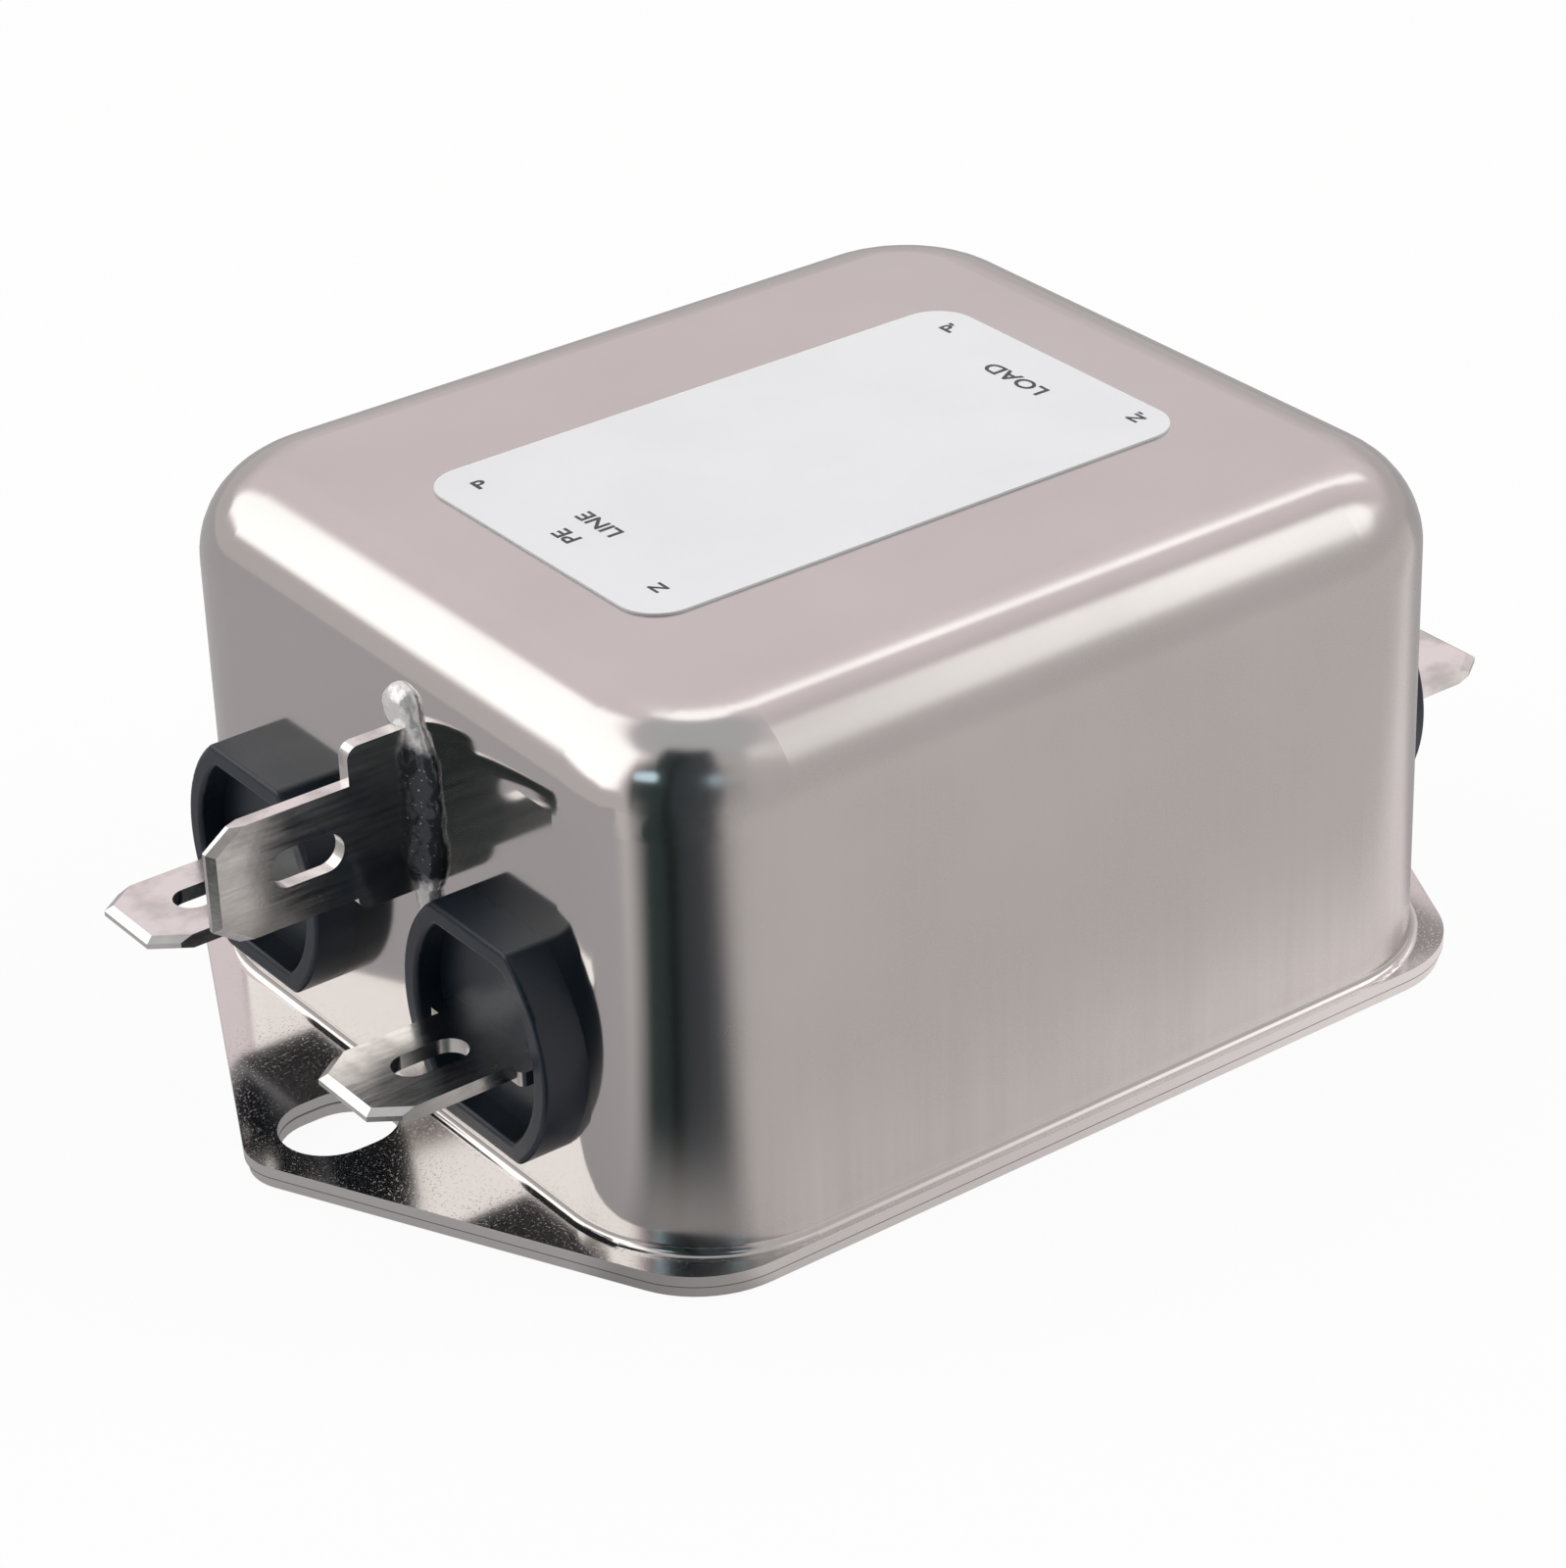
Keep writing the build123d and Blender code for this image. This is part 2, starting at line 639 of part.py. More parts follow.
if __name__ == "__main__":
    for node, shape in build().items():
        shape.label = node
        export_step(shape, f"parts/{node}.step")
        print(node, round(shape.volume, 2), len(shape.solids()))
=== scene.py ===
"""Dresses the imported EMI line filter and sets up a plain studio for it.

The CAD nodes keep their shapes. This script gives each of them a procedural
finish, lays uneven solder in place of the plain joint, prints the generic
terminal markings on the label, and adds a floor, a soft studio and the camera.

Blender's lengths are metres. The classes hold millimetres, apart from the
studio's floor, tent and lamp, which say where they hold metres.
"""
from __future__ import annotations

import logging
import math
from dataclasses import dataclass, field
from enum import Enum
from typing import Any

import bmesh
import bpy
from mathutils import Matrix, Vector, noise

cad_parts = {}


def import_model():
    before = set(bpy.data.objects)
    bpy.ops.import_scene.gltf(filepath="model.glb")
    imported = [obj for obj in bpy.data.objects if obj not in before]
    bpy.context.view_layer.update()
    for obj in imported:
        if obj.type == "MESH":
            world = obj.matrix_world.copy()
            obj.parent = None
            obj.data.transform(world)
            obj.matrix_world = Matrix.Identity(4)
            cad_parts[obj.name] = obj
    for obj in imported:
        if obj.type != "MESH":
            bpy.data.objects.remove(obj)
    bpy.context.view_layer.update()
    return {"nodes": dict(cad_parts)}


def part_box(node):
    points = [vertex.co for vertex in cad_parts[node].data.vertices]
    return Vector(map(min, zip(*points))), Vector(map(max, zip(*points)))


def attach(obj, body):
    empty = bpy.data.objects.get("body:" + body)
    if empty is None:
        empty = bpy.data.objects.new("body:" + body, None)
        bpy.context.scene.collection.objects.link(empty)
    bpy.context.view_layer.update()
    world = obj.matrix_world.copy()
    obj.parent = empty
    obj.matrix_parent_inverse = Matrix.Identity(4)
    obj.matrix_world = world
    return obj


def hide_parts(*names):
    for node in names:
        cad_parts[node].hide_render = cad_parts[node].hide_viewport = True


log = logging.getLogger("line_filter")
MM = 0.001
BODY = "root"
NOISE_MIDDLE = 0.5
WHITE = (1.0, 1.0, 1.0)

Triple = tuple[float, float, float]
Span = tuple[float, float]


class Signal:
    """A shader value that Python's operators can combine."""

    def __init__(self, graph: Graph, socket: bpy.types.NodeSocket) -> None:
        """Keep the graph that new nodes go into and the socket that holds the value."""
        self.graph = graph
        self.socket = socket

    def _math(self, operation: str, *values: Any) -> Signal:
        """Return a Math node's result for values in order, numbers or signals."""
        inputs = dict(enumerate(values))
        return self.graph.out(self.graph.node("ShaderNodeMath", {"operation": operation}, inputs))

    def __add__(self, other: Any) -> Signal:
        """Return self + other."""
        return self._math("ADD", self, other)

    __radd__ = __add__

    def __sub__(self, other: Any) -> Signal:
        """Return self - other."""
        return self._math("SUBTRACT", self, other)

    def __rsub__(self, other: Any) -> Signal:
        """Return other - self."""
        return self._math("SUBTRACT", other, self)

    def __mul__(self, other: Any) -> Signal:
        """Return self * other."""
        return self._math("MULTIPLY", self, other)

    __rmul__ = __mul__

    def __truediv__(self, other: Any) -> Signal:
        """Return self / other."""
        return self._math("DIVIDE", self, other)

    def __rtruediv__(self, other: Any) -> Signal:
        """Return other / self."""
        return self._math("DIVIDE", other, self)

    def __neg__(self) -> Signal:
        """Return the value with its sign changed."""
        return self._math("MULTIPLY", self, -1.0)

    def __abs__(self) -> Signal:
        """Return the size of the value."""
        return self._math("ABSOLUTE", self)

    def least(self, other: Any) -> Signal:
        """Return the smaller of two values."""
        return self._math("MINIMUM", self, other)

    def most(self, other: Any) -> Signal:
        """Return the larger of two values."""
        return self._math("MAXIMUM", self, other)

    def sway(self, amount: float) -> Signal:
        """Return a noise moved to lie evenly about 0 and scaled by an amount."""
        return (self - NOISE_MIDDLE) * amount

    def between(self, low: float, high: float) -> Signal:
        """Return 0 below low, 1 above high and a smooth rise between.

        Args:
            low: Where the rise starts.
            high: Where it ends; lower than low for a fall.

        Returns:
            The smooth step.
        """
        flip = high < low
        inputs = {
            "Value": self,
            "From Min": min(low, high),
            "From Max": max(low, high),
            "To Min": 1.0 if flip else 0.0,
            "To Max": 0.0 if flip else 1.0,
        }
        settings = {"interpolation_type": "SMOOTHSTEP"}
        return self.graph.out(self.graph.node("ShaderNodeMapRange", settings, inputs))


def together(masks: list[Signal]) -> Signal:
    """Return the product of some masks, which is 1 where all of them are."""
    return math.prod(masks[1:], start=masks[0])


def opaque(colour: Any) -> Any:
    """Return a colour as a socket takes it: a signal, or three numbers with an alpha of 1."""
    return colour if isinstance(colour, Signal) else (*colour, 1.0)


@dataclass(frozen=True)
class Pattern:
    """Noise of a real size, and how much of it a finish shows.

    Its size is that of a blotch in millimetres, and stretch says how much
    longer a blotch is along each axis. Stain, gloss and relief are its shares
    in the finish's colour, roughness and bump.
    """

    size: float
    stretch: Triple = (1.0, 1.0, 1.0)
    detail: float = 3.0
    stain: float = 0.0
    gloss: float = 0.0
    relief: float = 1.0


class Graph:
    """A node tree with one way to add nodes."""

    MIX_COLOURS = (6, 7)
    MIX_RESULT = 2

    def __init__(self, tree: bpy.types.NodeTree) -> None:
        """Start from an empty tree."""
        self.tree = tree
        tree.nodes.clear()

    def node(
        self,
        kind: str,
        settings: dict[str, Any] | None = None,
        values: dict[Any, Any] | None = None,
    ) -> bpy.types.Node:
        """Add a node.

        Args:
            kind: The node's type name.
            settings: Its properties, such as a Math node's operation.
            values: Its inputs by name or index, as values or signals.

        Returns:
            The new node.
        """
        node = self.tree.nodes.new(kind)
        for name, value in (settings or {}).items():
            setattr(node, name, value)
        for key, value in (values or {}).items():
            if isinstance(value, Signal):
                self.tree.links.new(value.socket, node.inputs[key])
            else:
                node.inputs[key].default_value = value
        return node

    def out(self, node: bpy.types.Node, output: Any = 0) -> Signal:
        """Return one of a node's outputs as a signal."""
        return Signal(self, node.outputs[output])

    def split(self, vector: Signal) -> tuple[Signal, Signal, Signal]:
        """Return a vector's x, y and z."""
        node = self.node("ShaderNodeSeparateXYZ", values={0: vector})
        return self.out(node, "X"), self.out(node, "Y"), self.out(node, "Z")

    def place(self) -> tuple[Signal, Signal, Signal, Signal]:
        """Return the object's own coordinates.

        Returns:
            The vector in metres, then x, y and z in millimetres.
        """
        vector = self.out(self.node("ShaderNodeTexCoord"), "Object")
        x, y, z = (part / MM for part in self.split(vector))
        return vector, x, y, z

    def facing(self) -> tuple[Signal, Signal, Signal]:
        """Return the x, y and z of the surface's normal."""
        return self.split(self.out(self.node("ShaderNodeNewGeometry"), "Normal"))

    def noise(self, vector: Signal, pattern: Pattern) -> Signal:
        """Add noise of a real size.

        Args:
            vector: The coordinates in metres.
            pattern: The noise's size, stretch and detail.

        Returns:
            The noise, about 0.3 to 0.7.
        """
        scale = tuple(1.0 / (MM * pattern.size * part) for part in pattern.stretch)
        moved = self.node("ShaderNodeVectorMath", {"operation": "MULTIPLY"}, {0: vector, 1: scale})
        inputs = {"Vector": self.out(moved), "Scale": 1.0, "Detail": pattern.detail}
        return self.out(self.node("ShaderNodeTexNoise", values=inputs))

    def blend(self, factor: Any, first: Any, second: Any) -> Signal:
        """Mix two colours.

        Args:
            factor: 0 for the first colour, 1 for the second.
            first: A colour, as three numbers or a signal.
            second: The other colour.

        Returns:
            The mixed colour.
        """
        inputs = {0: factor}
        for index, colour in zip(self.MIX_COLOURS, (first, second)):
            inputs[index] = opaque(colour)
        mix = self.node("ShaderNodeMix", {"data_type": "RGBA"}, inputs)
        return self.out(mix, self.MIX_RESULT)

    def bump(self, height: Signal, depth: float) -> Signal:
        """Return the normal of a relief whose height of 1 is a depth in millimetres."""
        inputs = {"Height": height, "Distance": depth * MM}
        return self.out(self.node("ShaderNodeBump", values=inputs))

    def surface(self, inputs: dict[str, Any]) -> None:
        """Finish the tree with a Principled shader that has these inputs."""
        shader = self.node("ShaderNodeBsdfPrincipled", values=inputs)
        self.node("ShaderNodeOutputMaterial", values={0: self.out(shader)})


def new_material(name: str) -> tuple[bpy.types.Material, Graph]:
    """Start a material.

    Args:
        name: The material's name.

    Returns:
        The material and its empty graph.
    """
    material = bpy.data.materials.new(name)
    material.use_nodes = True
    return material, Graph(material.node_tree)


def add_object(name: str, data: Any) -> bpy.types.Object:
    """Add an object to the scene.

    Args:
        name: The object's name.
        data: The mesh, letters, lamp or camera that it shows.

    Returns:
        The new object.
    """
    thing = bpy.data.objects.new(name, data)
    bpy.context.scene.collection.objects.link(thing)
    return thing


def shell_mesh(name: str, shell: bmesh.types.BMesh) -> bpy.types.Mesh:
    """Turn a shell into a mesh and free it.

    Args:
        name: The mesh's name.
        shell: The shell.

    Returns:
        The mesh.
    """
    mesh = bpy.data.meshes.new(name)
    shell.to_mesh(mesh)
    shell.free()
    return mesh


def settled_mesh(name: str, source: bpy.types.Object) -> bpy.types.Mesh:
    """Turn an object into the plain mesh that it shows, and remove the object.

    Args:
        name: The mesh's name.
        source: An object with modifiers or letters.

    Returns:
        The mesh.
    """
    bpy.context.view_layer.update()
    evaluated = source.evaluated_get(bpy.context.evaluated_depsgraph_get())
    mesh = bpy.data.meshes.new_from_object(evaluated)
    bpy.data.objects.remove(source)
    mesh.name = name
    return mesh


class Zone(Enum):
    """Where on the can a finish changes."""

    END_WALL = "end wall"
    LONG_WALL = "long wall"
    TOP = "top"
    FLANGE = "flange"
    CORNER = "corner"
    SHEARED_EDGE = "sheared edge"


@dataclass(frozen=True)
class CanPlating:
    """Tin plating on drawn sheet: bright on the end walls and ears, satin elsewhere.

    A facing is a share of the normal that lies along an axis. The fades and
    widths are distances over which a zone, the seam or the foot begins.
    """

    colour: Triple = (0.64, 0.615, 0.605)
    worn: Triple = (0.56, 0.535, 0.52)
    polished: Triple = (0.70, 0.675, 0.66)
    sheared: Triple = (0.74, 0.72, 0.71)
    seam: Triple = (0.12, 0.11, 0.105)
    roughness: dict[Zone, float] = field(default_factory=lambda: {
        Zone.END_WALL: 0.10,
        Zone.LONG_WALL: 0.27,
        Zone.TOP: 0.24,
        Zone.FLANGE: 0.13,
        Zone.CORNER: 0.15,
        Zone.SHEARED_EDGE: 0.34,
    })
    least_roughness: float = 0.03
    most_roughness: float = 0.6
    sheet: float = 0.65
    flange_top: float = 1.3
    wall_facing: Span = (0.45, 0.9)
    top_facing: Span = (0.95, 0.995)
    top_height: Span = (20.0, 22.0)
    flange_fade: Span = (1.2, 0.1)
    foot_height: Span = (14.0, 2.0)
    edge_fade: float = 0.04
    edge_facing: Span = (0.3, 0.6)
    seam_width: Span = (0.08, 0.03)
    fleck_level: Span = (0.60, 0.70)
    fleck_facing: Span = (0.9, 0.99)
    worn_share: float = 0.35
    streak_share: float = 0.25
    polished_share: float = 0.55
    seam_share: float = 0.85
    cloud: Pattern = Pattern(9.0, stain=0.8, gloss=0.06, relief=1.2)
    grain: Pattern = Pattern(0.35, detail=4.0, gloss=0.03, relief=0.04)
    draw: Pattern = Pattern(0.5, (1.0, 1.0, 26.0), 4.0, stain=0.7, relief=0.5)
    wide_draw: Pattern = Pattern(2.4, (1.0, 1.0, 14.0), 2.0, stain=0.8, relief=0.4)
    fleck: Pattern = Pattern(0.16, detail=2.0, relief=1.5)
    depth: float = 0.0025

    def make(self) -> bpy.types.Material:
        """Make the plating.

        Returns:
            The material.
        """
        material, graph = new_material("can_plating")
        vector, _, _, z = graph.place()
        across, along, up = graph.facing()
        cloud = graph.noise(vector, self.cloud)
        grain = graph.noise(vector, self.grain)
        draw = graph.noise(vector, self.draw)
        wide_draw = graph.noise(vector, self.wide_draw)
        end = abs(across).between(*self.wall_facing)
        long_wall = abs(along).between(*self.wall_facing)
        top = up.between(*self.top_facing) * z.between(*self.top_height)
        flange = z.between(*(self.flange_top + fade for fade in self.flange_fade))
        edge = z.between(self.flange_top + self.edge_fade, self.flange_top - self.edge_fade)
        edge = edge * (1 - abs(up).between(*self.edge_facing))
        seam = abs(z - self.sheet).between(*self.seam_width) * edge
        fleck = graph.noise(vector, self.fleck).between(*self.fleck_level)
        fleck = fleck * flange * up.between(*self.fleck_facing)
        rough = self._roughness(end, long_wall, top, flange, edge)
        rough = rough + cloud.sway(self.cloud.gloss) + grain.sway(self.grain.gloss)
        streak = draw.sway(self.draw.stain) + wide_draw.sway(self.wide_draw.stain)
        streak = streak * long_wall * (self.streak_share + z.between(*self.foot_height))
        stain = self.worn_share + streak + cloud.sway(self.cloud.stain)
        tone = graph.blend(stain.least(1.0).most(0.0), self.colour, self.worn)
        tone = graph.blend(end.most(flange) * self.polished_share, tone, self.polished)
        tone = graph.blend(edge, tone, self.sheared)
        tone = graph.blend(seam * self.seam_share, tone, self.seam)
        relief = grain * self.grain.relief + draw * long_wall * self.draw.relief
        relief = relief + wide_draw * long_wall * self.wide_draw.relief
        relief = relief + cloud * self.cloud.relief + fleck * self.fleck.relief
        graph.surface({
            "Base Color": tone,
            "Metallic": 1.0,
            "Roughness": rough.most(self.least_roughness).least(self.most_roughness),
            "Normal": graph.bump(relief, self.depth),
        })
        return material

    def _roughness(
        self, end: Signal, long_wall: Signal, top: Signal, flange: Signal, edge: Signal,
    ) -> Signal:
        """Blend the zones' roughness.

        Args:
            end: Where the end walls are.
            long_wall: Where the long walls are.
            top: Where the flat top is.
            flange: Where the flange and ears are.
            edge: Where the sheared edges are.

        Returns:
            The roughness, without its unevenness.
        """
        corner = self.roughness[Zone.CORNER]
        rough = corner + (self.roughness[Zone.END_WALL] - corner) * end
        rough = rough + (self.roughness[Zone.LONG_WALL] - corner) * long_wall
        rough = rough + (self.roughness[Zone.TOP] - corner) * top
        rough = rough * (1 - flange) + self.roughness[Zone.FLANGE] * flange
        return rough * (1 - edge) + self.roughness[Zone.SHEARED_EDGE] * edge


@dataclass(frozen=True)
class TinnedTerminal:
    """Tin plating on the punched brass tabs."""

    colour: Triple = (0.79, 0.77, 0.75)
    dull: Triple = (0.55, 0.535, 0.52)
    dull_level: Span = (0.4, 0.7)
    roughness: float = 0.2
    scratch: Pattern = Pattern(0.25, (14.0, 1.0, 1.0), 4.0, gloss=0.25, relief=0.6)
    cloud: Pattern = Pattern(2.5, gloss=0.2)
    grain: Pattern = Pattern(0.2, relief=0.4)
    depth: float = 0.004

    def make(self) -> bpy.types.Material:
        """Make the terminals' plating.

        Returns:
            The material.
        """
        material, graph = new_material("tinned_terminal")
        vector, _, _, _ = graph.place()
        scratch = graph.noise(vector, self.scratch)
        cloud = graph.noise(vector, self.cloud)
        grain = graph.noise(vector, self.grain)
        rough = self.roughness + scratch.sway(self.scratch.gloss) + cloud.sway(self.cloud.gloss)
        relief = scratch * self.scratch.relief + grain * self.grain.relief
        graph.surface({
            "Base Color": graph.blend(cloud.between(*self.dull_level), self.colour, self.dull),
            "Metallic": 1.0,
            "Roughness": rough,
            "Normal": graph.bump(relief, self.depth),
        })
        return material


@dataclass(frozen=True)
class Solder:
    """Solder along the joint, clean and bright at its ends and dark teal elsewhere: that dark
    colour is partly flux and partly a painted reflection of the dark doorway.

    The fade is how far the flux's edge reaches to its own side and to the clean
    side, and the wander is how far the lumps move that edge up and down.
    """

    bright: Triple = (0.90, 0.89, 0.885)
    # Dark teal: partly flux, partly a painted reflection of the dark doorway.
    flux_and_painted_reflection: Triple = (0.062, 0.070, 0.082)
    clean_above: float = 23.2
    clean_below: float = 15.8
    fade: Span = (0.4, 0.5)
    wander: float = 2.0
    # Bright specks in the dark flux: partly bare solder, partly painted glints.
    glint_and_speck_level: Span = (0.66, 0.72)
    glint_and_speck_share: float = 0.8
    metallic: float = 0.35
    clean_metallic: float = 0.12
    roughness: float = 0.11
    clean_roughness: float = 0.16
    lump: Pattern = Pattern(0.9, gloss=0.15)
    grain: Pattern = Pattern(0.2, relief=0.3)
    depth: float = 0.06

    def make(self) -> bpy.types.Material:
        """Make the solder.

        Returns:
            The material.
        """
        material, graph = new_material("solder")
        vector, _, _, z = graph.place()
        lump = graph.noise(vector, self.lump)
        grain = graph.noise(vector, self.grain)
        edge = z + lump.sway(self.wander)
        back, out = self.fade
        clean = edge.between(self.clean_above - back, self.clean_above + out)
        clean = clean.most(edge.between(self.clean_below + out, self.clean_below - back))
        # Clean solder at the ends, plus bright specks over the flux that are partly painted
        # glints.
        bare = clean.most(grain.between(*self.glint_and_speck_level) * self.glint_and_speck_share)
        rough = self.roughness + clean * self.clean_roughness + lump.sway(self.lump.gloss)
        graph.surface({
            "Base Color": graph.blend(bare, self.flux_and_painted_reflection, self.bright),
            "Metallic": self.metallic + self.clean_metallic * bare,
            "Roughness": rough,
            "Normal": graph.bump(lump + grain * self.grain.relief, self.depth),
        })
        return material


@dataclass(frozen=True)
class Moulding:
    """Moulded plastic with a fine spark-eroded grain."""

    name: str
    colour: Triple
    shade: Triple
    roughness: float
    shade_level: Span = (0.35, 0.65)
    grain: Pattern = Pattern(0.16, gloss=0.1)
    cloud: Pattern = Pattern(3.0, gloss=0.15, relief=0.8)
    depth: float = 0.006

    def make(self) -> bpy.types.Material:
        """Make the plastic.

        Returns:
            The material.
        """
        material, graph = new_material(self.name)
        vector, _, _, _ = graph.place()
        grain = graph.noise(vector, self.grain)
        cloud = graph.noise(vector, self.cloud)
        rough = self.roughness + cloud.sway(self.cloud.gloss) + grain.sway(self.grain.gloss)
        graph.surface({
            "Base Color": graph.blend(cloud.between(*self.shade_level), self.colour, self.shade),
            "Roughness": rough,
            "Normal": graph.bump(grain + cloud * self.cloud.relief, self.depth),
        })
        return material


@dataclass(frozen=True)
class LabelFilm:
    """Pale label film with a slight unevenness from the adhesive."""

    colour: Triple = (0.885, 0.90, 0.915)
    shade: Triple = (0.855, 0.875, 0.89)
    shade_level: Span = (0.35, 0.7)
    roughness: float = 0.52
    specular: float = 0.3
    cloud: Pattern = Pattern(7.0)
    fibre: Pattern = Pattern(0.25, detail=4.0, gloss=0.2, relief=0.3)
    depth: float = 0.01

    def make(self) -> bpy.types.Material:
        """Make the label film.

        Returns:
            The material.
        """
        material, graph = new_material("label_film")
        vector, _, _, _ = graph.place()
        cloud = graph.noise(vector, self.cloud)
        fibre = graph.noise(vector, self.fibre)
        graph.surface({
            "Base Color": graph.blend(cloud.between(*self.shade_level), self.colour, self.shade),
            "Roughness": self.roughness + fibre.sway(self.fibre.gloss),
            "Normal": graph.bump(cloud + fibre * self.fibre.relief, self.depth),
            "Specular IOR Level": self.specular,
        })
        return material


@dataclass(frozen=True)
class PrintInk:
    """Thermal print, a little uneven in its black."""

    colour: Triple = (0.035, 0.037, 0.042)
    thin: Triple = (0.11, 0.115, 0.125)
    thin_level: Span = (0.45, 0.75)
    roughness: float = 0.5
    patch: Pattern = Pattern(0.3, detail=4.0, gloss=0.2)

    def make(self) -> bpy.types.Material:
        """Make the ink.

        Returns:
            The material.
        """
        material, graph = new_material("print_ink")
        vector, _, _, _ = graph.place()
        patch = graph.noise(vector, self.patch)
        graph.surface({
            "Base Color": graph.blend(patch.between(*self.thin_level), self.colour, self.thin),
            "Roughness": self.roughness + patch.sway(self.patch.gloss),
        })
        return material


@dataclass(frozen=True)
class EnamelledWire:
    """Copper magnet wire under clear enamel."""

    colour: Triple = (0.62, 0.23, 0.10)
    dark: Triple = (0.42, 0.13, 0.05)
    dark_level: Span = (0.35, 0.7)
    metallic: float = 0.85
    roughness: float = 0.28
    cloud: Pattern = Pattern(1.6, gloss=0.15)
    depth: float = 0.01

    def make(self) -> bpy.types.Material:
        """Make the enamelled wire.

        Returns:
            The material.
        """
        material, graph = new_material("enamelled_wire")
        vector, _, _, _ = graph.place()
        cloud = graph.noise(vector, self.cloud)
        graph.surface({
            "Base Color": graph.blend(cloud.between(*self.dark_level), self.colour, self.dark),
            "Metallic": self.metallic,
            "Roughness": self.roughness + cloud.sway(self.cloud.gloss),
            "Normal": graph.bump(cloud, self.depth),
        })
        return material


@dataclass(frozen=True)
class LeadedComponent:
    """A coated component whose leads are bare tinned wire.

    The coating fills a box on each side of the filter's middle: its centre is
    how far out it lies and its reach is half its size. The margin is where the
    coating ends past that box and where it is full inside it.
    """

    name: str
    coat: Triple
    shade: Triple
    reach: Triple
    centre: Triple
    lead: Triple = (0.72, 0.71, 0.69)
    margin: Span = (0.08, -0.02)
    shade_level: Span = (0.35, 0.65)
    roughness: float = 0.35
    cloud: Pattern = Pattern(2.0)
    grain: Pattern = Pattern(0.3, gloss=0.15, relief=0.4)
    depth: float = 0.02

    def make(self) -> bpy.types.Material:
        """Make the coating, with tin outside the component's box.

        Returns:
            The material.
        """
        material, graph = new_material(self.name)
        vector, x, y, z = graph.place()
        end, full = self.margin
        inside = together([
            abs(abs(part) - middle).between(half + end, half + full)
            for part, middle, half in zip((x, y, z), self.centre, self.reach)
        ])
        cloud = graph.noise(vector, self.cloud)
        grain = graph.noise(vector, self.grain)
        coat = graph.blend(cloud.between(*self.shade_level), self.coat, self.shade)
        graph.surface({
            "Base Color": graph.blend(inside, self.lead, coat),
            "Metallic": 1 - inside,
            "Roughness": self.roughness + grain.sway(self.grain.gloss),
            "Normal": graph.bump(cloud + grain * self.grain.relief, self.depth),
        })
        return material


BLACK_MOULDING = Moulding(
    "black_moulding", colour=(0.007, 0.015, 0.027), shade=(0.011, 0.020, 0.033), roughness=0.36,
)
CASE_MOULDING = Moulding(
    "case_moulding", colour=(0.74, 0.71, 0.62), shade=(0.68, 0.65, 0.56), roughness=0.5,
)
FERRITE = Moulding(
    "ferrite", colour=(0.09, 0.09, 0.095), shade=(0.14, 0.14, 0.14), roughness=0.7,
    grain=Pattern(0.3, gloss=0.1), depth=0.02,
)
LINER_SHEET = Moulding(
    "liner_sheet", colour=(0.72, 0.62, 0.36), shade=(0.66, 0.56, 0.31), roughness=0.55,
    grain=Pattern(0.5, gloss=0.1), depth=0.01,
)
CAPACITOR_BOX = LeadedComponent(
    "capacitor_box", coat=(0.68, 0.62, 0.40), shade=(0.62, 0.56, 0.35),
    reach=(3.0, 13.0, 7.5), centre=(17.0, 0.0, 8.65),
)
CAPACITOR_DISC = LeadedComponent(
    "capacitor_disc", coat=(0.05, 0.22, 0.52), shade=(0.04, 0.17, 0.44),
    reach=(4.5, 1.8, 4.5), centre=(17.0, 7.0, 21.8),
)
RESISTOR_BODY = LeadedComponent(
    "resistor_body", coat=(0.55, 0.43, 0.28), shade=(0.48, 0.37, 0.24),
    reach=(1.7, 4.5, 1.7), centre=(17.0, 0.0, 17.85),
)


@dataclass
class Filter:
    """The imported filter's own nodes and the finish on each."""

    nodes: dict[str, bpy.types.Object]
    flat_weight: int = 100
    flat_threshold: float = 0.01

    def dress(self) -> None:
        """Put a finish on every CAD node."""
        for name, material in self._finishes().items():
            mesh = self.nodes[name].data
            mesh.materials.clear()
            mesh.materials.append(material)
            self._even_shading(self.nodes[name])
            log.info("dressed %s in %s", name, material.name)

    def _finishes(self) -> dict[str, bpy.types.Material]:
        """Make every finish once.

        Returns:
            The finish of each node, by the node's name.
        """
        plating = CanPlating().make()
        tin = TinnedTerminal().make()
        black = BLACK_MOULDING.make()
        case = CASE_MOULDING.make()
        wire = EnamelledWire().make()
        boxes = CAPACITOR_BOX.make()
        discs = CAPACITOR_DISC.make()
        finishes = {
            "can": plating,
            "base_plate": plating,
            "rating_label": LabelFilm().make(),
            "earth_terminal": tin,
            "earth_solder_joint": Solder().make(),
            "insulating_liner": LINER_SHEET.make(),
            "choke_core": FERRITE.make(),
            "choke_case": case,
            "choke_case_lid": case,
            "choke_divider": case,
            "choke_winding_p": wire,
            "choke_winding_n": wire,
            "line_capacitor": boxes,
            "load_capacitor": boxes,
            "earth_capacitor_p": discs,
            "earth_capacitor_n": discs,
            "bleed_resistor": RESISTOR_BODY.make(),
        }
        for end in ("line", "load"):
            for pole in ("p", "n"):
                finishes[f"{end}_terminal_{pole}"] = tin
                finishes[f"{end}_bushing_{pole}"] = black
        return finishes

    def _even_shading(self, node: bpy.types.Object) -> None:
        """Let a node's large flat faces set the shading at their edges.

        Args:
            node: The node's object, whose mesh stays as it is.
        """
        even = node.modifiers.new("flat_face_shading", "WEIGHTED_NORMAL")
        even.mode = "FACE_AREA"
        even.weight = self.flat_weight
        even.thresh = self.flat_threshold
        even.keep_sharp = True


@dataclass(frozen=True)
class Drop:
    """One lump of the solder: its middle and its half sizes."""

    middle: Triple
    radii: Triple


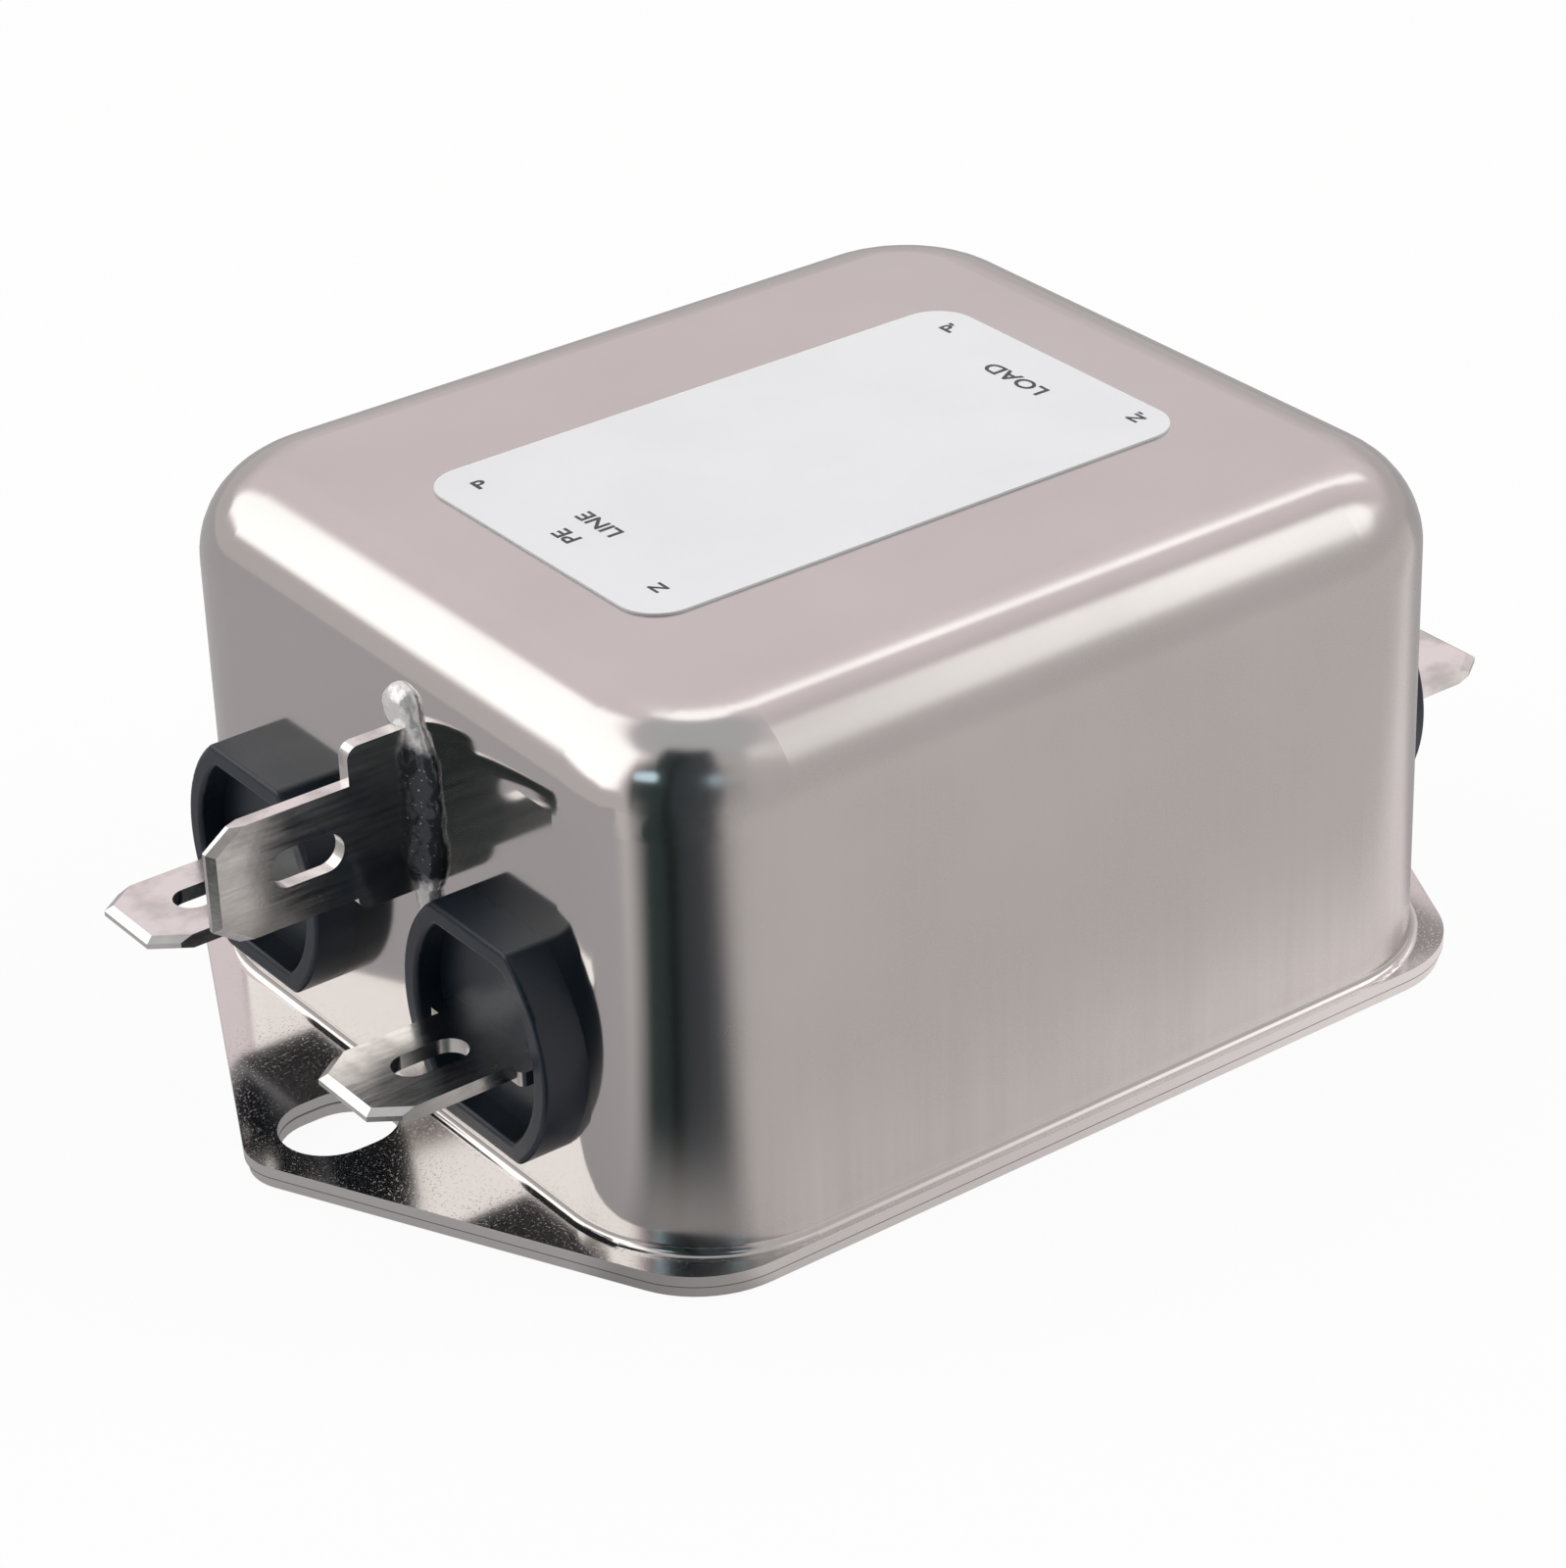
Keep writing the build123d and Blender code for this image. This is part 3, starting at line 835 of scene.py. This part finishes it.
@dataclass
class SolderJoint:
    """The uneven solder along the earth terminal's root, in place of its plain solid.

    The solder reaches from outside the wall to a little way into it. Each wave
    is a pace, in turns per millimetre, and a share of the unevenness.
    """

    name: str = "solder_bead_joint"
    wall: float = -26.3
    bury: float = 0.25
    voxel: float = 0.09
    roundness: int = 4
    softening: int = 6
    unevenness: float = 0.16
    waves: tuple[Span, ...] = ((1.1, 0.7), (2.7, 0.3))
    drops: tuple[Drop, ...] = (
        Drop((-26.3, -3.1, 19.6), (0.95, 1.75, 5.0)),
        Drop((-26.4, -3.3, 17.2), (0.9, 1.5, 2.3)),
        Drop((-26.3, -3.5, 21.6), (0.8, 1.35, 2.0)),
        Drop((-26.3, -2.2, 24.6), (0.85, 1.42, 1.36)),
        Drop((-26.3, -2.7, 23.6), (0.65, 1.3, 1.0)),
        Drop((-26.4, -3.4, 14.7), (0.6, 0.75, 1.5)),
        Drop((-26.3, -2.0, 19.0), (0.8, 1.3, 4.4)),
    )

    def build(self) -> None:
        """Make the joint and put it in the plain solid's place."""
        mesh = self._joined()
        self._roughen(mesh)
        mesh.shade_smooth()
        mesh.materials.append(Solder().make())
        piece = add_object(self.name, mesh)
        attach(piece, BODY)
        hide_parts("earth_solder_joint")
        log.info("laid %s", piece.name)

    def _joined(self) -> bpy.types.Mesh:
        """Run the drops together.

        Returns:
            The smooth joint, in metres.
        """
        shell = bmesh.new()
        for drop in self.drops:
            place = Matrix.Translation(Vector(drop.middle)) @ Matrix.Diagonal((*drop.radii, 1.0))
            bmesh.ops.create_icosphere(
                shell, subdivisions=self.roundness, radius=1.0, matrix=place,
            )
        bmesh.ops.scale(shell, vec=(MM, MM, MM), verts=shell.verts)
        source = add_object("solder_drops", shell_mesh("solder_drops", shell))
        join = source.modifiers.new("join", "REMESH")
        join.mode = "VOXEL"
        join.voxel_size = self.voxel * MM
        soften = source.modifiers.new("soften", "SMOOTH")
        soften.iterations = self.softening
        return settled_mesh(self.name, source)

    def _roughen(self, mesh: bpy.types.Mesh) -> None:
        """Push the surface in and out a little and keep it out of the can.

        Args:
            mesh: The joined solder, in metres.
        """
        pushed = []
        for vertex, normal in zip(mesh.vertices, mesh.vertex_normals):
            spot = vertex.co / MM
            wave = sum(noise.noise(spot * pace) * share for pace, share in self.waves)
            pushed.append(vertex.co + normal.vector * (wave * self.unevenness * MM))
        limit = (self.wall + self.bury) * MM
        for vertex, spot in zip(mesh.vertices, pushed):
            vertex.co = (min(spot.x, limit), spot.y, spot.z)


class Turn(Enum):
    """Which way a line of print reads on the label, as an angle in degrees."""

    ALONG = 0.0
    ACROSS = 90.0


@dataclass(frozen=True)
class Marking:
    """One generic marking on the label: its words, middle, letter height and width."""

    name: str
    text: str
    x: float
    y: float
    height: float
    turn: Turn = Turn.ALONG
    stretch: float = 1.0


@dataclass
class LabelPrint:
    """The terminal markings printed on the label: poles, ends and earth.

    The cap share is a capital letter's part of the font's size, and the spread
    is how far the ink widens each stroke.
    """

    thickness: float = 0.012
    cap_share: float = 0.72
    spread: float = 0.025
    curve_steps: int = 4
    markings: tuple[Marking, ...] = (
        Marking("print_line_p", "P", -14.8, 7.8, 0.95, stretch=1.15),
        Marking("print_line_n", "N", -14.6, -7.5, 0.85),
        Marking("print_load_p", "P'", 15.4, 7.4, 0.95, stretch=1.1),
        Marking("print_load_n", "N'", 15.7, -7.8, 0.85),
        Marking("print_line", "LINE", -12.8, 0.1, 0.95, Turn.ACROSS, 1.2),
        Marking("print_earth", "PE", -14.8, 0.1, 0.95, Turn.ACROSS, 1.2),
        Marking("print_load", "LOAD", 13.9, 0.0, 1.0, Turn.ACROSS, 1.25),
    )

    def build(self, top: float) -> None:
        """Set every marking on the label's face.

        Args:
            top: The label's upper face, in metres.
        """
        ink = PrintInk().make()
        for marking in self.markings:
            mesh = self._letters(marking, top)
            mesh.materials.append(ink)
            piece = add_object(marking.name, mesh)
            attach(piece, BODY)
            log.info("printed %s", marking.name)

    def _letters(self, marking: Marking, top: float) -> bpy.types.Mesh:
        """Make one marking's letters as a thin mesh.

        Args:
            marking: What to print and where.
            top: The height that the print lies on, in metres.

        Returns:
            The mesh, in place.
        """
        curve = bpy.data.curves.new(marking.name + "_text", "FONT")
        curve.body = marking.text
        curve.size = marking.height * MM / self.cap_share
        curve.extrude = self.thickness * MM / 2
        curve.offset = self.spread * MM
        curve.resolution_u = self.curve_steps
        curve.align_x = "CENTER"
        curve.align_y = "CENTER"
        mesh = settled_mesh(marking.name, add_object("text_source", curve))
        corners = [vertex.co for vertex in mesh.vertices]
        middle = [(max(axis) + min(axis)) / 2 for axis in zip(*corners)]
        mesh.transform(Matrix.Translation(-Vector((middle[0], middle[1], 0.0))))
        spot = Vector((marking.x * MM, marking.y * MM, top + self.thickness * MM / 2))
        turn = Matrix.Rotation(math.radians(marking.turn.value), 4, "Z")
        widen = Matrix.Diagonal((marking.stretch, 1.0, 1.0, 1.0))
        mesh.transform(Matrix.Translation(spot) @ turn @ widen)
        return mesh


class Ray(Enum):
    """A kind of ray that shows the white background, by its Light Path output."""

    CAMERA = "Is Camera Ray"
    MIRRORED = "Is Glossy Ray"
    THROUGH_GLASS = "Is Transmission Ray"


@dataclass(frozen=True)
class Edge:
    """A soft edge across one axis: nothing at the first number, all at the second."""

    axis: str
    clear: float
    full: float


@dataclass(frozen=True)
class RoundLight:
    """A soft round light in the tent: its direction, and its radii in that of 1."""

    centre: Triple
    outer: float
    inner: float
    strength: float = 1.0


@dataclass(frozen=True)
class Doorway:
    """The dark doorway: a wedge that opens towards a bearing west of south.

    The bearing, half angle and blur are degrees. A slant is a distance aside
    over the distance ahead. The start and threshold are distances ahead, in the
    units of whatever the doorway is laid over.
    """

    half_angle: float
    start: Span
    near_share: float = 0.0
    bearing: float = 47.5
    blur: float = 8.0
    flare: float = 0.30
    threshold: Span = (0.0, 0.01)
    least_ahead: float = 0.001
    left: Triple = (0.030, 0.046, 0.046)
    right: Triple = (0.050, 0.058, 0.066)
    middle_slants: Span = (-0.06, 0.06)
    jamb: Triple = (0.010, 0.013, 0.014)
    jamb_slant: float = -0.10
    jamb_width: Span = (0.09, 0.03)

    def over(
        self,
        graph: Graph,
        cloth: Signal,
        east: Signal,
        north: Signal,
        share: Any = 1.0,
        up: Any = 0.0,
    ) -> Signal:
        """Lay the doorway over a cloth or card, seen from a point.

        Args:
            graph: The graph to add to.
            cloth: The colour around the doorway.
            east: How far a place lies to +X of that point.
            north: How far it lies to +Y.
            share: How much of the doorway shows.
            up: The height in the tent, which widens it.

        Returns:
            The colour with the doorway in it.
        """
        bearing = math.radians(self.bearing)
        ahead = -(north * math.cos(bearing) + east * math.sin(bearing))
        aside = east * math.cos(bearing) - north * math.sin(bearing)
        slant = aside / ahead.most(self.least_ahead)
        narrow = math.tan(math.radians(self.half_angle - self.blur))
        wide = math.tan(math.radians(self.half_angle + self.blur))
        mask = (abs(slant) * (1.0 - self.flare * up)).between(wide, narrow)
        mask = mask * (self.near_share + (1.0 - self.near_share) * ahead.between(*self.start))
        mask = mask * ahead.between(*self.threshold)
        tone = graph.blend(slant.between(*self.middle_slants), self.left, self.right)
        jamb = abs(slant - self.jamb_slant).between(*self.jamb_width)
        return graph.blend(mask * share, cloth, graph.blend(jamb, tone, self.jamb))


@dataclass
class Studio:
    """A white floor and backdrop, one lamp, and a light tent for the metal to mirror.

    The camera sees the white floor and backdrop alone. The tent and the card on
    the floor are hidden from it. They are pale, with soft lights and one dark
    doorway, as the metal in the photograph shows them.

    The floor's and card's sizes, the tent's radius and the lamp's size and
    places are metres. The pattern on the card is millimetres, and that of the
    tent goes by direction, as a vector of length 1 from the object.
    """

    floor_half: float = 1.5
    floor_drop: float = 0.00010
    floor_glow: float = 0.94
    floor_paper: Triple = (0.9, 0.9, 0.9)
    plain_grey: Triple = (0.60, 0.59, 0.58)
    card_drop: float = 0.00005
    card_glow: float = 0.7
    card_front: Triple = (0.68, 0.65, 0.635)
    card_left: Triple = (0.49, 0.472, 0.48)
    card_near: Triple = (1.06, 1.0, 0.99)
    front_edge: Edge = Edge("y", -16.0, -26.0)
    near_edges: tuple[Edge, ...] = (
        Edge("y", -38.0, -25.0), Edge("y", -18.0, -22.0), Edge("x", -26.0, -10.0),
    )
    near_full: Edge = Edge("x", -10.0, 20.0)
    near_least: float = 0.35
    card_doorway: Doorway = Doorway(half_angle=26.0, start=(11.0, 22.0), near_share=0.45)
    doorway_foot: Span = (-17.9, -14.85)
    tent_radius: float = 5.0
    tent_roundness: int = 4
    back_wall: Triple = (0.906, 0.813, 0.843)
    front_wall: Triple = (0.60, 0.57, 0.56)
    ceiling: Triple = (0.58, 0.58, 0.59)
    window: Triple = (1.70, 1.68, 1.65)
    back_edges: tuple[Edge, ...] = (Edge("y", -0.5, 0.25), Edge("z", 0.20, 0.44))
    ceiling_edge: Edge = Edge("z", 0.84, 0.92)
    windows: tuple[tuple[Edge, ...], ...] = (
        (
            Edge("x", 0.03, -0.09), Edge("y", -0.06, 0.12),
            Edge("z", 0.26, 0.36), Edge("z", 0.90, 0.82),
        ),
        (
            Edge("x", 0.44, 0.62), Edge("y", -0.72, -0.57),
            Edge("y", -0.08, -0.22), Edge("z", 0.40, 0.54),
        ),
    )
    round_lights: tuple[RoundLight, ...] = (
        RoundLight((0.30, 0.42, 0.855), 0.19, 0.10),
        RoundLight((0.32, -0.54, 0.78), 0.24, 0.06, 0.35),
    )
    cool_lights: tuple[RoundLight, ...] = (
        RoundLight((-0.738, -0.205, 0.643), 0.13, 0.05, 0.9),
        RoundLight((-0.268, -0.717, 0.643), 0.13, 0.05, 0.7),
    )
    cool: Triple = (0.95, 1.25, 1.40)
    tube_slopes: tuple[Span, ...] = ((0.36, 0.44), (0.68, 0.60))
    tube_edges: tuple[Edge, ...] = (Edge("x", 0.10, 0.22), Edge("z", 0.45, 0.55))
    tube_floor: float = 0.01
    tent_doorway: Doorway = Doorway(half_angle=26.0, start=(0.0, 0.02))
    doorway_top: Edge = Edge("z", 0.985, 0.94)
    doorway_rise: Edge = Edge("z", 0.0, 0.5)
    lamp_power: float = 1.5
    lamp_size: float = 0.36
    lamp_place: Triple = (0.60, -0.34, 0.46)
    lamp_aim: Triple = (0.0, 0.0, 0.01)

    def build(self) -> None:
        """Make the backdrop, the floor and its card, the tent and the lamp."""
        self._backdrop()
        self._lay("studio_floor", self.floor_drop, self._floor_finish())
        card = self._lay("studio_floor_card", self.card_drop, self._card_finish())
        self._hide(card, "camera", "diffuse", "transmission", "shadow")
        self._tent()
        self._lamp()

    @staticmethod
    def _hide(thing: bpy.types.Object, *rays: str) -> None:
        """Hide a thing of the studio from some kinds of ray."""
        for ray in rays:
            setattr(thing, f"visible_{ray}", False)

    def _background(self, graph: Graph) -> Signal:
        """Return the background's colour: white where it shows, or plain grey.

        Args:
            graph: The graph of the floor or the world.

        Returns:
            White for the rays that show the background, and grey for the rest.
        """
        path = graph.node("ShaderNodeLightPath")
        shows = graph.out(path, Ray.CAMERA.value)
        for ray in (Ray.MIRRORED, Ray.THROUGH_GLASS):
            shows = shows.most(graph.out(path, ray.value))
        return graph.blend(shows, self.plain_grey, WHITE)

    @staticmethod
    def _within(axes: dict[str, Signal], *edges: Edge) -> Signal:
        """Return how far every one of some edges is full, along the axes given."""
        return together([axes[edge.axis].between(edge.clear, edge.full) for edge in edges])

    def _backdrop(self) -> None:
        """Make the world white behind the object and plain grey for the rest."""
        world = bpy.data.worlds.new("studio_backdrop")
        bpy.context.scene.world = world
        world.use_nodes = True
        world.cycles.sampling_method = "NONE"
        graph = Graph(world.node_tree)
        inputs = {"Color": self._background(graph), "Strength": 1.0}
        background = graph.node("ShaderNodeBackground", values=inputs)
        graph.node("ShaderNodeOutputWorld", values={0: graph.out(background)})

    def _lay(self, name: str, drop: float, material: bpy.types.Material) -> bpy.types.Object:
        """Lay a square sheet just under the base plate.

        Args:
            name: The sheet's name.
            drop: How far it lies under the base plate, in metres.
            material: Its finish.

        Returns:
            The sheet.
        """
        half = self.floor_half
        corners = [(-half, -half, 0.0), (half, -half, 0.0), (half, half, 0.0), (-half, half, 0.0)]
        mesh = bpy.data.meshes.new(name)
        mesh.from_pydata(corners, [], [(0, 1, 2, 3)])
        mesh.materials.append(material)
        sheet = add_object(name, mesh)
        sheet.location = (0.0, 0.0, -drop)
        return sheet

    @staticmethod
    def _lit_card(graph: Graph, share: float, glow: Signal, matt: Any) -> None:
        """Finish a tree with a surface that glows and also takes shadows.

        Args:
            graph: The sheet's graph.
            share: How much of it glows.
            glow: The glow's colour.
            matt: The colour of the matt part.
        """
        paper = graph.node("ShaderNodeBsdfDiffuse", values={"Color": opaque(matt)})
        light = graph.node("ShaderNodeEmission", values={"Color": glow, "Strength": 1.0})
        inputs = {0: share, 1: graph.out(paper), 2: graph.out(light)}
        both = graph.node("ShaderNodeMixShader", values=inputs)
        graph.node("ShaderNodeOutputMaterial", values={0: graph.out(both)})

    def _floor_finish(self) -> bpy.types.Material:
        """Make the white floor's finish, which keeps the object's shadow.

        Returns:
            The material.
        """
        material, graph = new_material("studio_floor")
        material.cycles.emission_sampling = "NONE"
        self._lit_card(graph, self.floor_glow, self._background(graph), self.floor_paper)
        return material

    def _card_finish(self) -> bpy.types.Material:
        """Make the finish that the metal mirrors: pale, with the doorway's dark foot.

        Returns:
            The material.
        """
        material, graph = new_material("studio_floor_card")
        material.cycles.emission_sampling = "NONE"
        _, x, y, _ = graph.place()
        axes = {"x": x, "y": y}
        card = graph.blend(self._within(axes, self.front_edge), self.card_left, self.card_front)
        full = self._within(axes, self.near_full)
        near = self._within(axes, *self.near_edges)
        near = near * (self.near_least + (1.0 - self.near_least) * full)
        card = graph.blend(near, card, self.card_near)
        foot_x, foot_y = self.doorway_foot
        card = self.card_doorway.over(graph, card, x - foot_x, y - foot_y)
        self._lit_card(graph, self.card_glow, card, card)
        return material

    def _tent(self) -> None:
        """Put the tent around everything, unseen by the camera."""
        shell = bmesh.new()
        bmesh.ops.create_icosphere(
            shell, subdivisions=self.tent_roundness, radius=self.tent_radius,
        )
        mesh = shell_mesh("studio_tent", shell)
        mesh.materials.append(self._tent_finish())
        tent = add_object("studio_tent", mesh)
        self._hide(tent, "camera", "transmission")

    @staticmethod
    def _spot(graph: Graph, direction: Signal, lamp: RoundLight) -> Signal:
        """Return a round light of the tent.

        Args:
            graph: The tent's graph.
            direction: The direction that is looked along.
            lamp: The light.

        Returns:
            Its strength in its middle and 0 outside it.
        """
        settings = {"operation": "DISTANCE"}
        gap = graph.node("ShaderNodeVectorMath", settings, {0: direction, 1: lamp.centre})
        return graph.out(gap, "Value").between(lamp.outer, lamp.inner) * lamp.strength

    def _lights(self, graph: Graph, direction: Signal, axes: dict[str, Signal]) -> Signal:
        """Return where the tent's windows, tube and round lights are.

        Args:
            graph: The tent's graph.
            direction: The direction that is looked along.
            axes: Its x, y and z.

        Returns:
            1 in a light and 0 outside them.
        """
        slope = axes["y"] / axes["z"].most(self.tube_floor)
        tube = together([slope.between(*slopes) for slopes in self.tube_slopes])
        lights = tube * self._within(axes, *self.tube_edges)
        for edges in self.windows:
            lights = lights.most(self._within(axes, *edges))
        for lamp in self.round_lights:
            lights = lights.most(self._spot(graph, direction, lamp))
        return lights

    def _tent_finish(self) -> bpy.types.Material:
        """Make the tent's cloth: walls, ceiling, soft lights and the doorway.

        Returns:
            The material.
        """
        material, graph = new_material("studio_tent")
        material.cycles.emission_sampling = "NONE"
        vector, _, _, _ = graph.place()
        unit = graph.node("ShaderNodeVectorMath", {"operation": "NORMALIZE"}, {0: vector})
        direction = graph.out(unit)
        axes = dict(zip("xyz", graph.split(direction)))
        lights = self._lights(graph, direction, axes)
        cloth = graph.blend(self._within(axes, *self.back_edges), self.front_wall, self.back_wall)
        cloth = graph.blend(self._within(axes, self.ceiling_edge), cloth, self.ceiling)
        cloth = graph.blend(lights, cloth, self.window)
        share = self._within(axes, self.doorway_top) * (1 - lights)
        rise = self._within(axes, self.doorway_rise)
        cloth = self.tent_doorway.over(graph, cloth, axes["x"], axes["y"], share, rise)
        for lamp in self.cool_lights:
            cloth = graph.blend(self._spot(graph, direction, lamp), cloth, self.cool)
        light = graph.node("ShaderNodeEmission", values={"Color": cloth, "Strength": 1.0})
        graph.node("ShaderNodeOutputMaterial", values={0: graph.out(light)})
        return material

    def _lamp(self) -> None:
        """Hang one soft lamp, which lights the print and plastic but isn't mirrored."""
        data = bpy.data.lights.new("soft_lamp", "AREA")
        data.energy = self.lamp_power
        data.size = self.lamp_size
        lamp = add_object("soft_lamp", data)
        lamp.location = self.lamp_place
        aim = Vector(self.lamp_aim) - lamp.location
        lamp.rotation_euler = aim.to_track_quat("-Z", "Y").to_euler()
        self._hide(lamp, "glossy")


@dataclass(frozen=True)
class Viewpoint:
    """The photograph's camera, as fitted to the can, flange and ear.

    The clip distances are metres.
    """

    azimuth: float = 35.838
    elevation: float = 29.308
    roll: float = -2.043
    distance: float = 257.24
    target: Triple = (-2.107, 0.027, 10.702)
    focal_pixels: float = 4959.5
    image_width: int = 1598
    sensor_width: float = 36.0
    clip_start: float = 0.01
    clip_end: float = 20.0

    def build(self) -> None:
        """Create the camera and make it the scene's own."""
        az = math.radians(self.azimuth)
        el = math.radians(self.elevation)
        turn = math.radians(self.roll)
        ahead = Vector((math.sin(az) * math.cos(el), math.cos(az) * math.cos(el), -math.sin(el)))
        right = Vector((math.cos(az), -math.sin(az), 0.0))
        up = right.cross(ahead)
        side = right * math.cos(turn) + up * math.sin(turn)
        head = up * math.cos(turn) - right * math.sin(turn)
        matrix = Matrix((side, head, -ahead)).transposed().to_4x4()
        matrix.translation = (Vector(self.target) - ahead * self.distance) * MM
        data = bpy.data.cameras.new("photo_camera")
        data.sensor_fit = "HORIZONTAL"
        data.sensor_width = self.sensor_width
        data.lens = self.sensor_width * self.focal_pixels / self.image_width
        data.clip_start = self.clip_start
        data.clip_end = self.clip_end
        camera = add_object("photo_camera", data)
        camera.matrix_world = matrix
        bpy.context.scene.camera = camera


def main() -> None:
    """Load the frame, dress it, and add the studio and the camera."""
    logging.basicConfig(level=logging.INFO, format="%(name)s: %(message)s")
    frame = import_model()
    scene = bpy.context.scene
    scene.view_settings.view_transform = "Standard"
    Filter(frame["nodes"]).dress()
    label_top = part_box("rating_label")[1].z
    SolderJoint().build()
    LabelPrint().build(label_top)
    Studio().build()
    Viewpoint().build()


if __name__ == "__main__":
    main()
